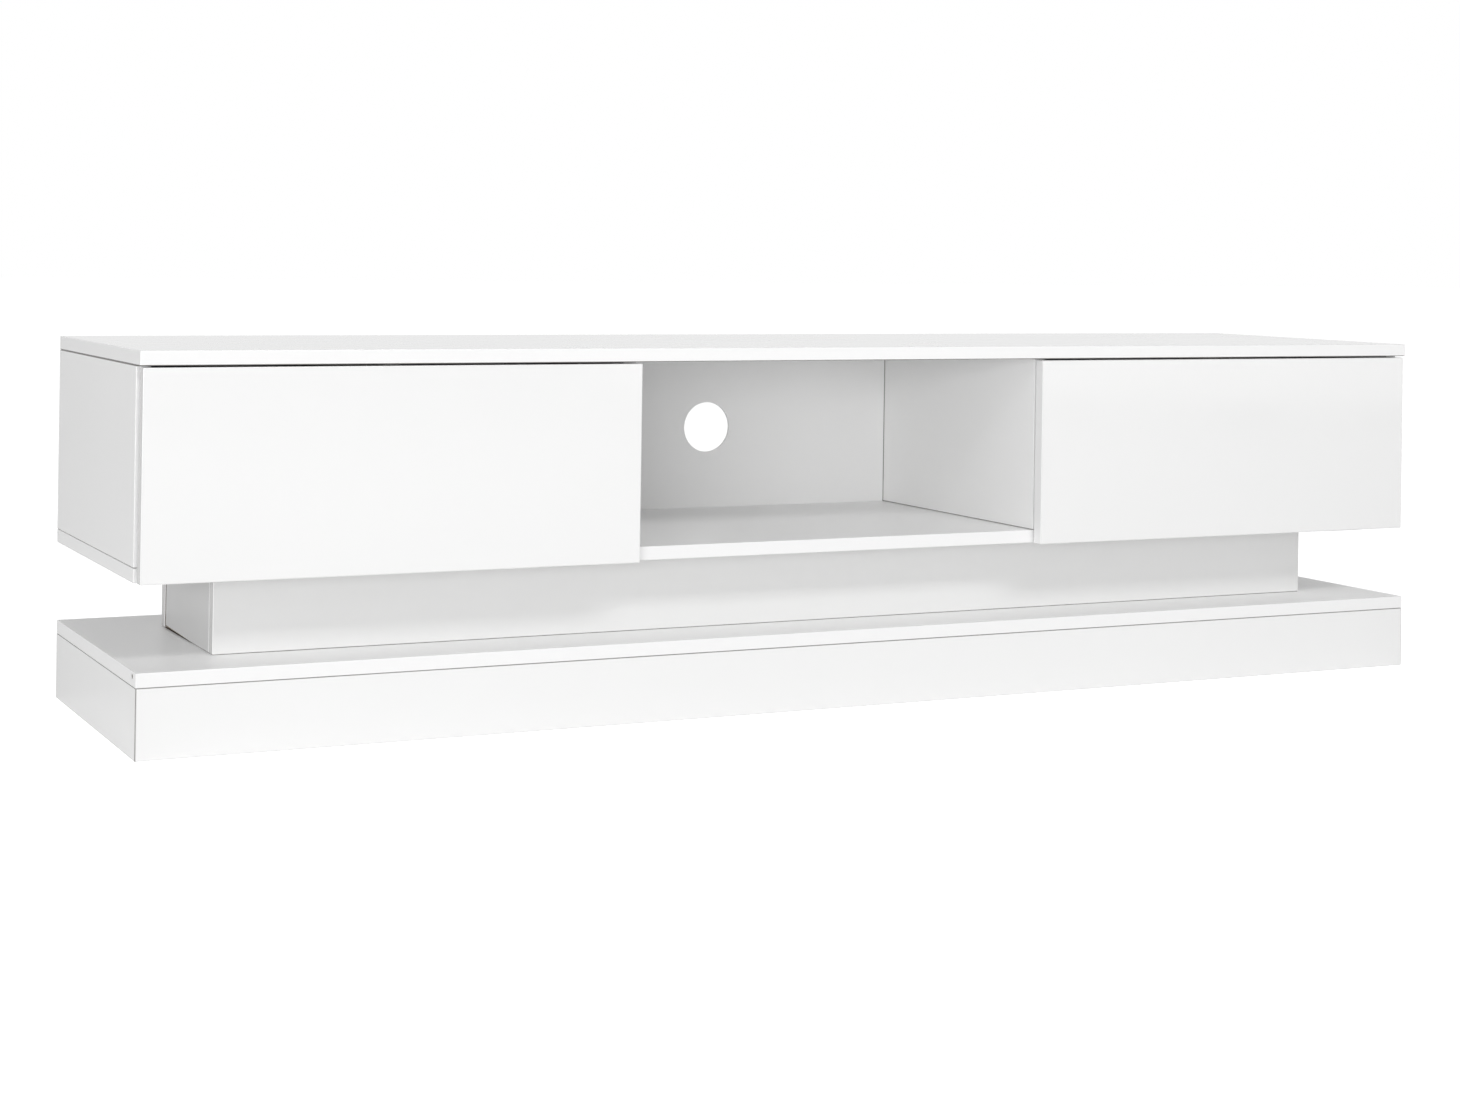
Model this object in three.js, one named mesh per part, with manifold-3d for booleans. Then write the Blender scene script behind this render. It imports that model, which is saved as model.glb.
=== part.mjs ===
// Low television cabinet: a three-bay case with two drop-down flaps and an open centre bay, carried on a
// recessed riser that stands on a plinth of the case's own length. White-faced 15 mm boards throughout.
// Millimetres, +X to the right, +Y to the back, +Z up. Origin on the floor under the centre of the top board.
import * as THREE from "three";
import { RoundedBoxGeometry } from "three/addons/geometries/RoundedBoxGeometry.js";
import { mergeVertices } from "three/addons/utils/BufferGeometryUtils.js";
import Module from "manifold-3d";

const wasm = await Module();
wasm.setup();

// ---- Boards ----
const boardThickness = 15;
const flapThickness = 15;
const backThickness = 3;
const seam = 0.25; // what a tightened cam joint leaves between two boards
const edgeRadius = 0.8; // edge banding, eased after gluing

// ---- Overall sizes ----
const cabinetWidth = 1600;
const topDepth = 390;
const skirtHeight = 72;
const riserHeight = 86;
const uprightHeight = 201.5;

// ---- Plinth and riser ----
const plinthSetback = 5; // the plinth stops this far short of the case's rear edge
const riserDepth = 220;
const riserInset = 98; // from each end of the plinth
const riserEndGap = 5; // a riser end stops this far short of the rear rail
const riserEndSlope = { rise: 2, from: 0.25 }; // its lower edge lifts to the rear, starting part way along
const endHole = { radius: 3, depth: 12, behindFront: 15, below: 5 }; // in each end of the plinth's top board

// ---- Case ----
const backInset = 14.5; // from the rear edge of the boards to the back panels
const grooveDepth = 5;
const grooveSlack = 0.4; // the groove is this much wider and deeper than the panel needs
const cableHoleRadius = 31;

// ---- Flaps ----
const flapReveal = 3; // how much of each gable's front edge shows beside its flap
const flapTopGap = 2;
const flapOpening = 90; // degrees

// ---- Butt hinges, two to a flap, with the knuckle on the case's lower front edge ----
const hingeLength = 60;
const hingeInset = 67; // from a bay's side to the middle of the nearer hinge
const leafHeight = boardThickness - 1.5;
const leafThickness = 1.1;
const leafClearance = 0.55; // between a hinge's two leaves, flap shut
const knuckleRadius = 2.4;
const knuckleCount = 5;
const knuckleGap = 0.3;
const pinRadius = 1.2;
const pinClearance = 0.2;
const leafScrew = { shank: 1.6, head: 2.6, inset: 12, height: 8.5 };

// ---- Sliding-rod flap stays, one to a flap, on the gable side ----
const stayRadius = 150; // hinge axis to either pivot of the stay
const stayAngle = 30; // between the two pivots, seen from the hinge axis, flap shut
const stayStandOff = 14; // flap's inner face to the pivot on the flap
const rodRadius = 3;
const rodOffset = 14.5; // gable's inner face to the rod's centreline
const runningGap = 0.35;
const eyeRadius = 7;
const rodCollar = { radius: 4.5, length: 6 };
const brake = { length: 30, height: 20, near: 2.75, far: 20.75, corner: 5 };
const stayPlate = { thickness: 2, length: 46, height: 20 };
const studRadius = 4;
const studReach = 9; // gable's inner face to the stud's end
const earThickness = 2.5;
const bracketPlate = { width: 20, height: 44, thickness: 2 };
const fittingScrew = { shank: 1.8, head: 3.2 };
const bracketScrewAt = 16; // above and below the pin

// ---- Push-to-open latches, one to a flap, under the top board ----
const latch = { width: 16, length: 60, height: 14, corner: 3 };
const latchSetback = 18; // behind the case's front edge
const latchFlange = { width: 38, length: 16, thickness: 2.5, behindFront: 30 };
const plungerRadius = 4;
const plungerLength = 61;
const plungerBoreLength = 52;
const flangeScrewAt = 13.5; // to each side of the plunger
const strike = { width: 22, height: 9, thickness: 1.2, screwAt: 7 };
const strikeGap = 0.3;

// ---- Bumpers, two to a flap, stuck on the case's front edges near the top ----
const bumper = { radius: 4, crown: 0.8, clearance: 0.15, below: 24 }; // below the top board

// ---- Levels and planes worked out from the sizes above ----
const plinthTopZ = skirtHeight + seam;
const riserZ = plinthTopZ + boardThickness + seam;
const floorZ = riserZ + riserHeight + seam;
const uprightZ = floorZ + boardThickness + seam;
const topZ = uprightZ + uprightHeight + seam;

const halfWidth = cabinetWidth / 2;
const frontY = -topDepth / 2;
const rearY = topDepth / 2;
const flapBackGap = seam + 2 * leafThickness + leafClearance; // a flap's back to the case
const flapBackY = frontY + flapThickness;
const caseFrontY = flapBackY + flapBackGap;
const backPanelY = rearY - backInset - backThickness;
const plinthRearY = rearY - plinthSetback;
const riserFrontY = (frontY + plinthRearY - riserDepth) / 2;
const riserRearY = riserFrontY + riserDepth;
const riserHalf = halfWidth - riserInset;

const bayWidth = (cabinetWidth - 4 * boardThickness) / 3; // the three bays are equal
const bayHalf = bayWidth / 2;
const flapTopZ = topZ - flapTopGap;
const axis = { y: (flapBackY + caseFrontY) / 2, z: floorZ }; // hinge axis of both flaps

// ---- Materials ----
const lacquer = new THREE.MeshStandardMaterial({ color: 0xf4f4f4, roughness: 0.18, metalness: 0 });
const melamine = new THREE.MeshStandardMaterial({ color: 0xeeeeee, roughness: 0.4, metalness: 0 });
const steel = new THREE.MeshStandardMaterial({ color: 0xc4c6c8, roughness: 0.35, metalness: 1 });
const zinc = new THREE.MeshStandardMaterial({ color: 0xa9abad, roughness: 0.45, metalness: 1 });
const nylon = new THREE.MeshStandardMaterial({ color: 0xdadada, roughness: 0.5, metalness: 0 });
const silicone = new THREE.MeshStandardMaterial({ color: 0xe4e4e2, roughness: 0.6, metalness: 0 });

// ---- Solids ----
function toSolid(geometry) {
  const bare = geometry.clone();
  bare.deleteAttribute("normal");
  bare.deleteAttribute("uv");
  const merged = mergeVertices(bare, 1e-4);
  const mesh = new wasm.Mesh({
    numProp: 3,
    vertProperties: new Float32Array(merged.attributes.position.array),
    triVerts: new Uint32Array(merged.index.array),
  });
  return new wasm.Manifold(mesh);
}

function toGeometry(solid) {
  const mesh = solid.getMesh();
  const geometry = new THREE.BufferGeometry();
  geometry.setAttribute("position", new THREE.BufferAttribute(mesh.vertProperties, 3));
  geometry.setIndex(new THREE.BufferAttribute(mesh.triVerts, 1));
  geometry.computeVertexNormals();
  return geometry;
}

function combine(blanks, cutters = []) {
  const body = blanks.map(toSolid).reduce((a, b) => a.add(b));
  return toGeometry(cutters.map(toSolid).reduce((a, b) => a.subtract(b), body));
}

const middle = ([low, high]) => (low + high) / 2;
const length = ([low, high]) => high - low;
const span = (a, b) => (a < b ? [a, b] : [b, a]);

function box(x, y, z) {
  return new THREE.BoxGeometry(length(x), length(y), length(z)).translate(middle(x), middle(y), middle(z));
}

function rodAlongX(radius, x, y, z, sides = 24) {
  const rod = new THREE.CylinderGeometry(radius, radius, length(x), sides).rotateZ(Math.PI / 2);
  return rod.translate(middle(x), y, z);
}

function rodAlongY(radius, x, y, z, sides = 24) {
  return new THREE.CylinderGeometry(radius, radius, length(y), sides).translate(x, middle(y), z);
}

// A body turned about Y from a list of [radius, height] pairs that starts and ends on the axis.
function turned(profile, sides = 16) {
  return new THREE.LatheGeometry(profile.map(([radius, up]) => new THREE.Vector2(radius, up)), sides);
}

// The hole for a countersunk screw, drawn from a plate's open face at the origin along +Y into the plate.
function screwHole({ shank, head }, thickness) {
  const sink = head - shank;
  const beyond = thickness + 1;
  return turned([[0, -1], [head, -1], [head, 0], [shank, sink], [shank, beyond], [0, beyond]], 12);
}

// A rectangle with round corners, drawn about its centre.
function roundedRectangle(width, height, corner) {
  const w = width / 2;
  const h = height / 2;
  const r = Math.min(corner, w, h);
  const shape = new THREE.Shape();
  shape.moveTo(w - r, -h);
  shape.absarc(w - r, -h + r, r, -Math.PI / 2, 0);
  shape.absarc(w - r, h - r, r, 0, Math.PI / 2);
  shape.absarc(-w + r, h - r, r, Math.PI / 2, Math.PI);
  shape.absarc(-w + r, -h + r, r, Math.PI, 1.5 * Math.PI);
  shape.closePath();
  return shape;
}

const alongX = new THREE.Matrix4().makeBasis(
  new THREE.Vector3(0, 1, 0),
  new THREE.Vector3(0, 0, 1),
  new THREE.Vector3(1, 0, 0),
);
const alongY = new THREE.Matrix4().makeBasis(
  new THREE.Vector3(0, 0, 1),
  new THREE.Vector3(1, 0, 0),
  new THREE.Vector3(0, 1, 0),
);

// Extrudes a shape drawn in (y, z) along X, or one drawn in (z, x) along Y.
function plate(shape, basis, [low, high], curveSegments = 4) {
  const depth = high - low;
  const geometry = new THREE.ExtrudeGeometry(shape, { depth, bevelEnabled: false, curveSegments });
  return geometry.translate(0, 0, low).applyMatrix4(basis);
}

// ---- Scene graph ----
const cabinet = new THREE.Group();

function add(name, geometry, material, position = [0, 0, 0], turn = 0) {
  const mesh = new THREE.Mesh(geometry, material);
  mesh.name = name;
  mesh.position.set(...position);
  mesh.rotation.x = turn;
  cabinet.add(mesh);
}

// A board with eased edges; the cutters are given in the cabinet's frame.
function board(name, x, y, z, { material = lacquer, cutters = [], radius = edgeRadius } = {}) {
  const centre = [middle(x), middle(y), middle(z)];
  const blank = new RoundedBoxGeometry(length(x), length(y), length(z), 1, radius);
  const local = cutters.map((cutter) => cutter.translate(-centre[0], -centre[1], -centre[2]));
  add(name, local.length ? combine([blank], local) : blank, material, centre);
}

// ---- The three bays: each is [left face, right face] ----
const bays = {
  left: [-halfWidth + boardThickness, -bayHalf - boardThickness],
  centre: [-bayHalf, bayHalf],
  right: [bayHalf + boardThickness, halfWidth - boardThickness],
};
const sides = [
  { side: "left", inward: 1, bay: bays.left },
  { side: "right", inward: -1, bay: bays.right },
];

// ---- Back panels, and the grooves that hold them ----
const grooveY = [backPanelY - grooveSlack / 2, backPanelY + backThickness + grooveSlack / 2];
const panelReach = grooveDepth - grooveSlack;

function backGroovesAlong(z) {
  return Object.values(bays).map(([x0, x1]) => box([x0 - grooveDepth, x1 + grooveDepth], grooveY, z));
}

function uprightGroove(faceX, outward) {
  return box(span(faceX - outward, faceX + outward * grooveDepth), grooveY, [uprightZ - 1, topZ + 1]);
}

function backPanels() {
  const z = [uprightZ - seam - panelReach, topZ + panelReach];
  const y = [backPanelY, backPanelY + backThickness];
  const holeY = [y[0] - 1, y[1] + 1];
  const hole = rodAlongY(cableHoleRadius, 0, holeY, middle([uprightZ, topZ - seam]), 56);
  for (const [name, [x0, x1]] of Object.entries(bays)) {
    const cutters = name === "centre" ? [hole] : [];
    const x = [x0 - panelReach, x1 + panelReach];
    board(`${name}_back_panel`, x, y, z, { material: melamine, cutters, radius: 0.3 });
  }
}

// ---- Hinges ----
function hingeCentres([low, high]) {
  return [low + hingeInset, high - hingeInset];
}

// Room for the knuckle where it stands into a board's lower edge, on the case (+1) or on the flap (-1).
function knuckleNotch(centreX, way) {
  const half = hingeLength / 2 + 2;
  const reach = knuckleRadius + knuckleGap;
  const y = span(axis.y, axis.y + way * reach);
  return box([centreX - half, centreX + half], y, [axis.z - 1, axis.z + reach]);
}

// One leaf, drawn about the hinge's centre on its axis. The fixed leaf holds the outer and middle knuckles.
function hingeLeaf(way) {
  const pitch = hingeLength / knuckleCount;
  const half = hingeLength / 2;
  const faceY = flapBackGap / 2 - seam / 2;
  const plateY = span(way * (faceY - leafThickness), way * faceY);
  const blanks = [box([-half, half], plateY, [0, leafHeight])];
  const cutters = [rodAlongX(pinRadius + pinClearance, [-half - 1, half + 1], 0, 0, 16)];
  const reach = knuckleRadius + knuckleGap;
  for (let i = 0; i < knuckleCount; i += 1) {
    const x = [-half + i * pitch, -half + (i + 1) * pitch];
    const own = (i % 2 === 0) === way > 0;
    if (own) {
      const trimmed = [x[0] + (i ? knuckleGap / 2 : 0), x[1] - (i < knuckleCount - 1 ? knuckleGap / 2 : 0)];
      blanks.push(rodAlongX(knuckleRadius, trimmed, 0, 0, 20));
    } else {
      cutters.push(box([x[0] - knuckleGap / 2, x[1] + knuckleGap / 2], [-reach, reach], [-reach, reach]));
    }
  }
  for (const x of [-half + leafScrew.inset, half - leafScrew.inset]) {
    const hole = screwHole(leafScrew, leafThickness).rotateX(way > 0 ? 0 : Math.PI);
    cutters.push(hole.translate(x, way * (faceY - leafThickness), leafScrew.height));
  }
  return combine(blanks, cutters);
}

// The hinge pin: a plain rod with a flat head at each end, just clear of the outer knuckles.
function hingePin() {
  const half = hingeLength / 2;
  const headRadius = knuckleRadius - 0.2;
  const headThickness = 0.9;
  const inner = half + knuckleGap;
  const outer = inner + headThickness;
  const lower = [[0, -outer], [headRadius, -outer], [headRadius, -inner], [pinRadius, -inner]];
  const upper = [[pinRadius, inner], [headRadius, inner], [headRadius, outer], [0, outer]];
  return turned([...lower, ...upper]).rotateZ(Math.PI / 2);
}

function hinges({ side, bay }) {
  hingeCentres(bay).forEach((x, i) => {
    const name = `${side}_hinge_${i + 1}`;
    const place = [x, axis.y, axis.z];
    add(`${name}_case_leaf`, hingeLeaf(1), steel, place);
    add(`${name}_flap_leaf`, hingeLeaf(-1), steel, place);
    add(`${name}_pin`, hingePin(), steel, place);
  });
}

// ---- Flap stays ----
// Both pivots lie on one circle about the hinge axis, so the rod and its brake each turn by exactly half of
// what the flap does, and the rod runs through the brake's pivot at every opening.
const stay = (() => {
  const flapPivotY = stayStandOff - flapBackGap / 2;
  const flapDirection = Math.acos(flapPivotY / stayRadius);
  const brakeDirection = flapDirection - THREE.MathUtils.degToRad(stayAngle);
  const opened = THREE.MathUtils.degToRad(stayAngle + flapOpening);
  return {
    flapPivot: [axis.y + flapPivotY, axis.z + stayRadius * Math.sin(flapDirection)],
    brakePivot: [
      axis.y + stayRadius * Math.cos(brakeDirection),
      axis.z + stayRadius * Math.sin(brakeDirection),
    ],
    turn: (flapDirection + brakeDirection) / 2 - Math.PI / 2,
    collarAt: 2 * stayRadius * Math.sin(opened / 2) + brake.length / 2 + runningGap,
  };
})();

// The rod, drawn from the centre of its eye along +Y.
function stayRod() {
  const eyeX = [-rodRadius, rodRadius];
  const end = stay.collarAt + rodCollar.length;
  const blanks = [
    rodAlongX(eyeRadius, eyeX, 0, 0),
    rodAlongY(rodRadius, 0, [0, end], 0),
    rodAlongY(rodCollar.radius, 0, [stay.collarAt, end], 0),
  ];
  return combine(blanks, [rodAlongX(rodRadius + runningGap, [-eyeRadius, eyeRadius], 0, 0)]);
}

// The brake that grips the rod, drawn about its pivot with the rod along Y.
function stayBrake(inward) {
  const x = span(inward * (brake.near - rodOffset), inward * (brake.far - rodOffset));
  const studX = span(inward * (brake.near - rodOffset - 1), inward * (studReach + runningGap - rodOffset));
  const half = brake.length / 2;
  const tension = { radius: 4.5, reach: 2.5, slot: 1.2 };
  const face = inward * (brake.far - rodOffset);
  const screwX = span(face - inward, face + inward * tension.reach);
  const slotX = span(face + inward * (tension.reach - tension.slot), face + inward * (tension.reach + 1));
  const blanks = [
    plate(roundedRectangle(brake.length, brake.height, brake.corner), alongX, x),
    rodAlongX(tension.radius, screwX, 0, 0, 20),
  ];
  const cutters = [
    rodAlongY(rodRadius + runningGap, 0, [-half - 1, half + 1], 0),
    rodAlongX(studRadius + runningGap, studX, 0, 0),
    box(slotX, [-tension.radius, tension.radius], [-tension.slot / 2, tension.slot / 2]),
  ];
  return combine(blanks, cutters);
}

// The plate on the gable and its stud, drawn from the gable's inner face.
function stayGablePlate(inward) {
  const outline = roundedRectangle(stayPlate.length, stayPlate.height, stayPlate.height / 2);
  const plateX = span(inward * seam, inward * (seam + stayPlate.thickness));
  const blanks = [
    plate(outline, alongX, plateX, 8),
    rodAlongX(studRadius, span(inward * seam, inward * studReach), 0, 0),
  ];
  const holes = [-1, 1].map((way) => {
    const y = way * (stayPlate.length / 2 - stayPlate.height / 4);
    const hole = screwHole(fittingScrew, stayPlate.thickness).rotateZ((inward * Math.PI) / 2);
    return hole.translate(inward * (seam + stayPlate.thickness), y, 0);
  });
  return combine(blanks, holes);
}

// The clevis on the flap with its pin, drawn about the pin's centre.
function stayFlapBracket() {
  const earX = rodRadius + runningGap;
  const plateY = [-stayStandOff + seam, -stayStandOff + seam + bracketPlate.thickness];
  const plateX = [-bracketPlate.width / 2, bracketPlate.width / 2];
  const blanks = [
    box(plateX, plateY, [-bracketPlate.height / 2, bracketPlate.height / 2]),
    rodAlongX(rodRadius, [-earX - earThickness, earX + earThickness], 0, 0),
  ];
  for (const x of [[-earX - earThickness, -earX], [earX, earX + earThickness]]) {
    blanks.push(rodAlongX(eyeRadius, x, 0, 0));
    blanks.push(box(x, [plateY[0], 0], [-eyeRadius, eyeRadius]));
  }
  const holes = [-1, 1].map((way) => {
    const hole = screwHole(fittingScrew, bracketPlate.thickness).rotateX(Math.PI);
    return hole.translate(0, plateY[1], way * bracketScrewAt);
  });
  return combine(blanks, holes);
}

function flapStay({ side, inward, bay }) {
  const gableFace = inward > 0 ? bay[0] : bay[1];
  const rodX = gableFace + inward * rodOffset;
  add(`${side}_stay_gable_plate`, stayGablePlate(inward), steel, [gableFace, ...stay.brakePivot]);
  add(`${side}_stay_brake`, stayBrake(inward), nylon, [rodX, ...stay.brakePivot], stay.turn);
  add(`${side}_stay_rod`, stayRod(), steel, [rodX, ...stay.flapPivot], stay.turn);
  add(`${side}_stay_flap_bracket`, stayFlapBracket(), zinc, [rodX, ...stay.flapPivot]);
}

// ---- Push latches ----
const latchZ = topZ - seam - latch.height / 2;
const latchFrontY = caseFrontY + latchSetback;
const strikeBackY = flapBackY + seam + strike.thickness;

function pushLatch({ side, bay }) {
  const x = middle(bay);
  const plungerFront = strikeBackY + strikeGap - latchFrontY;
  const flangeY = [latchFlange.behindFront, latchFlange.behindFront + latchFlange.length];
  const flangeZ = [latch.height / 2 - latchFlange.thickness, latch.height / 2];
  const bore = [-1, plungerBoreLength];
  const flangeHoles = [-1, 1].map((way) => {
    const hole = screwHole(fittingScrew, latchFlange.thickness).rotateX(Math.PI / 2);
    return hole.translate(way * flangeScrewAt, middle(flangeY), flangeZ[0]);
  });
  const housing = combine(
    [
      plate(roundedRectangle(latch.height, latch.width, latch.corner), alongY, [0, latch.length]),
      box([-latchFlange.width / 2, latchFlange.width / 2], flangeY, flangeZ),
    ],
    [rodAlongY(plungerRadius + runningGap, 0, bore, 0), ...flangeHoles],
  );
  const plunger = combine([
    rodAlongY(plungerRadius, 0, [plungerFront, plungerFront + plungerLength], 0),
  ]);
  const strikeX = [-strike.width / 2, strike.width / 2];
  const strikeZ = [-strike.height / 2, strike.height / 2];
  const strikeHoles = [-1, 1].map((way) => {
    const hole = screwHole(leafScrew, strike.thickness).rotateX(Math.PI);
    return hole.translate(way * strike.screwAt, strike.thickness, 0);
  });
  const strikePlate = combine([box(strikeX, [0, strike.thickness], strikeZ)], strikeHoles);
  add(`${side}_latch_housing`, housing, nylon, [x, latchFrontY, latchZ]);
  add(`${side}_latch_plunger`, plunger, zinc, [x, latchFrontY, latchZ]);
  add(`${side}_latch_strike`, strikePlate, steel, [x, flapBackY + seam, latchZ]);
}

// ---- Bumpers: each a low dome that the shut flap all but touches ----
function bumpers({ side, inward, bay }) {
  const { radius, crown } = bumper;
  const reach = flapBackGap - seam - bumper.clearance;
  const shoulder = [radius * 0.8, reach - crown / 3];
  const profile = [[0, 0], [radius, 0], [radius, reach - crown], shoulder, [0, reach]];
  const gableX = (inward > 0 ? bay[0] : bay[1]) - (inward * boardThickness) / 2;
  const dividerX = (inward > 0 ? bay[1] : bay[0]) + (inward * boardThickness) / 2;
  for (const [where, x] of [["gable", gableX], ["divider", dividerX]]) {
    const dome = turned(profile).rotateX(Math.PI);
    add(`${side}_bumper_${where}`, dome, silicone, [x, caseFrontY - seam, topZ - bumper.below]);
  }
}

// ---- Case ----
function caseBoards() {
  const y = [caseFrontY, rearY];
  const notches = sides.flatMap(({ bay }) => hingeCentres(bay).map((x) => knuckleNotch(x, 1)));
  const floorGrooves = backGroovesAlong([floorZ + boardThickness - grooveDepth, uprightZ + 1]);
  const topGrooves = backGroovesAlong([topZ - 1, topZ + grooveDepth]);
  const fullWidth = [-halfWidth, halfWidth];
  const uprightSpan = [uprightZ, uprightZ + uprightHeight];
  const floorSpan = [floorZ, floorZ + boardThickness];

  board("case_floor", fullWidth, y, floorSpan, { cutters: [...floorGrooves, ...notches] });
  board("top_board", fullWidth, [frontY, rearY], [topZ, topZ + boardThickness], { cutters: topGrooves });
  for (const { side, inward, bay } of sides) {
    const gableFace = inward > 0 ? bay[0] : bay[1];
    const dividerFace = inward > 0 ? bay[1] : bay[0];
    const gableX = span(gableFace, gableFace - inward * boardThickness);
    const dividerX = span(dividerFace, dividerFace + inward * boardThickness);
    const dividerGrooves = [
      uprightGroove(dividerFace, inward),
      uprightGroove(dividerFace + inward * boardThickness, -inward),
    ];
    board(`${side}_gable`, gableX, y, uprightSpan, { cutters: [uprightGroove(gableFace, -inward)] });
    board(`${side}_divider`, dividerX, y, uprightSpan, { cutters: dividerGrooves });
  }
}

// ---- Flaps ----
function flap({ side, inward, bay }) {
  const outer = -inward * (halfWidth - flapReveal);
  const x = span(outer, -inward * bayHalf);
  const cutters = hingeCentres(bay).map((centre) => knuckleNotch(centre, -1));
  board(`${side}_flap`, x, [frontY, flapBackY], [floorZ, flapTopZ], { cutters });
}

// ---- Riser: two long rails, two ends between them and a rib in the middle ----
function riser() {
  const z = [riserZ, riserZ + riserHeight];
  const betweenY = [riserFrontY + boardThickness + seam, riserRearY - boardThickness - seam];
  const endY = [betweenY[0], riserRearY - boardThickness - riserEndGap];
  const slopeFrom = endY[0] + riserEndSlope.from * length(endY);
  const slope = [
    [slopeFrom, z[0]],
    [endY[1], z[0] + riserEndSlope.rise],
    [endY[1] + 1, z[0] - 1],
    [slopeFrom, z[0] - 1],
  ];
  const rib = [-boardThickness / 2, boardThickness / 2];
  board("riser_front_rail", [-riserHalf, riserHalf], [riserFrontY, riserFrontY + boardThickness], z);
  board("riser_rear_rail", [-riserHalf, riserHalf], [riserRearY - boardThickness, riserRearY], z);
  board("riser_middle_rib", rib, betweenY, z);
  for (const { side, inward } of sides) {
    const outline = new THREE.Shape(slope.map(([along, up]) => new THREE.Vector2(along, up)));
    const cutter = plate(outline, alongX, [-halfWidth, halfWidth]);
    const x = span(-inward * riserHalf, -inward * (riserHalf - boardThickness));
    board(`riser_${side}_end`, x, endY, z, { cutters: [cutter] });
  }
}

// ---- Plinth: a top board on a skirt that is mitred at its two front corners ----
// Takes off one side of the mitre plane, which runs from the outer corner inwards at 45 degrees.
function mitreCutter(inward, takesFront) {
  const gap = seam / Math.SQRT2;
  const reach = 3 * boardThickness;
  const shift = takesFront ? -gap : gap;
  const corner = [-inward * halfWidth, frontY];
  const start = [corner[0] - inward * (reach - shift), corner[1] - reach];
  const end = [corner[0] + inward * (reach + shift), corner[1] + reach];
  const third = takesFront ? [end[0], start[1]] : [start[0], end[1]];
  const outline = [start, end, third].map(([x, y]) => new THREE.Vector2(x, y));
  const shape = new THREE.Shape(outline);
  const depth = skirtHeight + 2;
  return new THREE.ExtrudeGeometry(shape, { depth, bevelEnabled: false }).translate(0, 0, -1);
}

function plinth() {
  const z = [0, skirtHeight];
  const rearSkirtY = [plinthRearY - boardThickness, plinthRearY];
  const frontCutters = [mitreCutter(1, false), mitreCutter(-1, false)];
  const insideX = halfWidth - boardThickness - seam;
  const frontSkirtY = [frontY, frontY + boardThickness];
  const ribY = [frontSkirtY[1] + seam, rearSkirtY[0] - seam];
  board("plinth_front_skirt", [-halfWidth, halfWidth], frontSkirtY, z, { cutters: frontCutters });
  board("plinth_rear_skirt", [-insideX, insideX], rearSkirtY, z);
  board("plinth_middle_rib", [-boardThickness / 2, boardThickness / 2], ribY, z);
  for (const { side, inward } of sides) {
    const x = span(-inward * halfWidth, -inward * (halfWidth - boardThickness));
    board(`plinth_${side}_skirt`, x, [frontY, plinthRearY], z, { cutters: [mitreCutter(inward, true)] });
  }

  const topSpan = [plinthTopZ, plinthTopZ + boardThickness];
  const holes = sides.map(({ inward }) => {
    const x = span(-inward * (halfWidth + 1), -inward * (halfWidth - endHole.depth));
    return rodAlongX(endHole.radius, x, frontY + endHole.behindFront, topSpan[1] - endHole.below, 16);
  });
  board("plinth_top_board", [-halfWidth, halfWidth], [frontY, plinthRearY], topSpan, { cutters: holes });
}

plinth();
riser();
caseBoards();
backPanels();
for (const one of sides) {
  flap(one);
  hinges(one);
  flapStay(one);
  pushLatch(one);
  bumpers(one);
}

export default cabinet;
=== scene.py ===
import math

import bmesh
import bpy
from mathutils import Matrix, Vector


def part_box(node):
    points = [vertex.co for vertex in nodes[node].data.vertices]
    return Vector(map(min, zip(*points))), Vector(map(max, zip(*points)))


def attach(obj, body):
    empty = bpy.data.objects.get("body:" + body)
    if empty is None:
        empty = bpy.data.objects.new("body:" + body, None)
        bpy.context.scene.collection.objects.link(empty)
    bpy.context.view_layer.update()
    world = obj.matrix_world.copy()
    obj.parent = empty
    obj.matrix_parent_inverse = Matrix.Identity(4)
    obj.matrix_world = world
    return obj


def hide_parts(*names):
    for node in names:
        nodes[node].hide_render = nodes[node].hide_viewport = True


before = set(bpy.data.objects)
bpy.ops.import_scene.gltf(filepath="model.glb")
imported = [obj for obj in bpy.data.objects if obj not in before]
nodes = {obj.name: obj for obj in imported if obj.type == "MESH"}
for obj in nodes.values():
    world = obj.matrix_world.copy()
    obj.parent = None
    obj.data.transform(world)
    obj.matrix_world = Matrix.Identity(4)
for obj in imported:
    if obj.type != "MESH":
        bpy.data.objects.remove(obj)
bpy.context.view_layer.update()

# ---- Camera ----
# A still camera on a tripod, a little above the top board and to the left of the cabinet, held almost level.
# Its lens is shifted down, as for furniture, so that the uprights stay upright in the picture.
camera_data = bpy.data.cameras.new("studio_camera")
camera_data.sensor_width = 36.0
camera_data.lens = 62.38
camera_data.shift_y = -0.2124
camera = bpy.data.objects.new("studio_camera", camera_data)
bpy.context.scene.collection.objects.link(camera)
bpy.context.scene.camera = camera

camera_place = Vector((-1.3801, -2.6912, 0.5158))
heading, pitch, roll = (math.radians(angle) for angle in (26.161, 0.219, 0.82))
ahead = Vector((math.sin(heading) * math.cos(pitch), math.cos(heading) * math.cos(pitch), math.sin(pitch)))
level_right = Vector((math.cos(heading), -math.sin(heading), 0.0))
level_up = level_right.cross(ahead)
right = math.cos(roll) * level_right + math.sin(roll) * level_up
up = math.cos(roll) * level_up - math.sin(roll) * level_right
camera.matrix_world = Matrix.Translation(camera_place) @ Matrix((right, up, -ahead)).transposed().to_4x4()

# ---- Studio: floor, white surroundings and lamps ----
# A white paper floor runs out into white surroundings, which the camera and the glossy boards see as white.
# Soft boxes stand before the cabinet, low at both sides and high in the middle, and one stands to its left.
# The room's own light fills the rest.


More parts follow.
